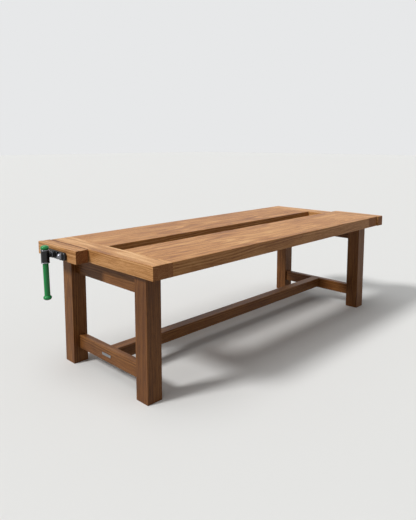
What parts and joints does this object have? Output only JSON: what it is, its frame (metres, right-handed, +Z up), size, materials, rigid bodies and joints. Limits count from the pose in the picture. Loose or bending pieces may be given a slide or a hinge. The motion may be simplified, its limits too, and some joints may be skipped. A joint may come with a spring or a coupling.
{
  "type": "woodworking bench",
  "caption": "Long heavy hardwood workbench with an open tool slot down the middle of its top and a wooden-jawed screw vise across each end.",
  "frame": {"origin": "on the floor under the middle of the bench, midway between the two vises and midway between the long sides", "axes": "+X along the bench towards the right vise, +Y across the bench towards its back side, +Z up"},
  "size_m": [3.039, 1.144, 0.875],
  "materials": {
    "top_wood": "oiled hardwood, planed and sanded, long straight grain along the slab, soft satin sheen",
    "cap_wood": "oiled hardwood, grain across the bench, soft satin sheen",
    "jaw_wood": "oiled hardwood with a lightly rounded edge, soft satin sheen",
    "leg_wood": "oiled hardwood, upright grain, a little darker than the top",
    "rail_wood": "oiled hardwood, grain along the rail, satin",
    "peg_wood": "turned hardwood peg, end grain showing",
    "zinc_steel": "zinc plated steel fasteners, dull satin",
    "blank_steel": "bare brushed plate with two small round-head pins",
    "black_casting": "cast iron in glossy black enamel, faint casting texture",
    "blacked_steel": "polished steel, blacked, glossy",
    "bright_steel": "turned and ground bright steel, lightly oiled",
    "bronze": "turned bronze bush",
    "green_enamel": "steel bar and turned knobs in glossy green enamel"
  },
  "bodies": {
    "bench": {"slab_front": "top_wood", "slab_back": "top_wood", "end_cap_left": "cap_wood", "end_cap_right": "cap_wood", "cap_pegs": "peg_wood", "leg_front_left": "leg_wood", "leg_back_left": "leg_wood", "leg_front_right": "leg_wood", "leg_back_right": "leg_wood", "upper_rail_left": "rail_wood", "upper_rail_right": "rail_wood", "end_stretcher_left": "rail_wood", "end_stretcher_right": "rail_wood", "long_stretcher": "rail_wood", "stretcher_pegs": "peg_wood", "coach_screws": "zinc_steel", "coach_washers": "zinc_steel", "blank_plate": "blank_steel", "plate_pins": "blank_steel", "left_vise_nut": "black_casting", "left_nut_screws": "zinc_steel", "left_rod_bushes": "bronze", "right_vise_nut": "black_casting", "right_nut_screws": "zinc_steel", "right_rod_bushes": "bronze"},
    "left_jaw": {"left_vise_jaw": "jaw_wood", "left_front_plate": "black_casting", "left_plate_screws": "blacked_steel", "left_guide_rod_inner": "bright_steel", "left_guide_rod_outer": "bright_steel", "left_rod_cap_nuts": "blacked_steel", "left_tie_bar": "bright_steel", "left_tie_bar_nuts": "zinc_steel"},
    "left_screw": {"left_vise_screw": "bright_steel", "left_screw_retainer": "bright_steel", "left_retainer_pin": "bright_steel", "left_screw_hub": "black_casting", "left_hub_pin": "bright_steel", "left_hub_bushes": "blacked_steel"},
    "left_handle": {"left_handle_bar": "green_enamel", "left_handle_knobs": "green_enamel"},
    "right_jaw": {"right_vise_jaw": "jaw_wood", "right_front_plate": "black_casting", "right_plate_screws": "blacked_steel", "right_guide_rod_inner": "bright_steel", "right_guide_rod_outer": "bright_steel", "right_rod_cap_nuts": "blacked_steel", "right_tie_bar": "bright_steel", "right_tie_bar_nuts": "zinc_steel"},
    "right_screw": {"right_vise_screw": "bright_steel", "right_screw_retainer": "bright_steel", "right_retainer_pin": "bright_steel", "right_screw_hub": "black_casting", "right_hub_pin": "bright_steel", "right_hub_bushes": "blacked_steel"},
    "right_handle": {"right_handle_bar": "green_enamel", "right_handle_knobs": "green_enamel"}
  },
  "joints": [
    {"name": "left_jaw_slide", "type": "slide", "parent": "bench", "child": "left_jaw", "axis": [-1, 0, 0], "range_m": [-0.0045, 0.2]},
    {"name": "left_screw_turn", "type": "hinge", "parent": "left_jaw", "child": "left_screw", "pos_m": [-1.491, 0.34, 0.808], "axis": [-1, 0, 0], "range_deg": [-162, 7200]},
    {"name": "left_handle_slide", "type": "slide", "parent": "left_screw", "child": "left_handle", "axis": [0, 0.0419, 0.9991], "range_m": [0, 0.216]},
    {"name": "right_jaw_slide", "type": "slide", "parent": "bench", "child": "right_jaw", "axis": [1, 0, 0], "range_m": [-0.0045, 0.2]},
    {"name": "right_screw_turn", "type": "hinge", "parent": "right_jaw", "child": "right_screw", "pos_m": [1.491, -0.34, 0.808], "axis": [1, 0, 0], "range_deg": [-162, 7200]},
    {"name": "right_handle_slide", "type": "slide", "parent": "right_screw", "child": "right_handle", "axis": [0, -1, 0], "range_m": [-0.108, 0.108]}
  ],
  "couplings": [
    {"joint": "left_jaw_slide", "follows": "left_screw_turn", "m_per_rad": 0.0015915},
    {"joint": "right_jaw_slide", "follows": "right_screw_turn", "m_per_rad": 0.0015915}
  ]
}
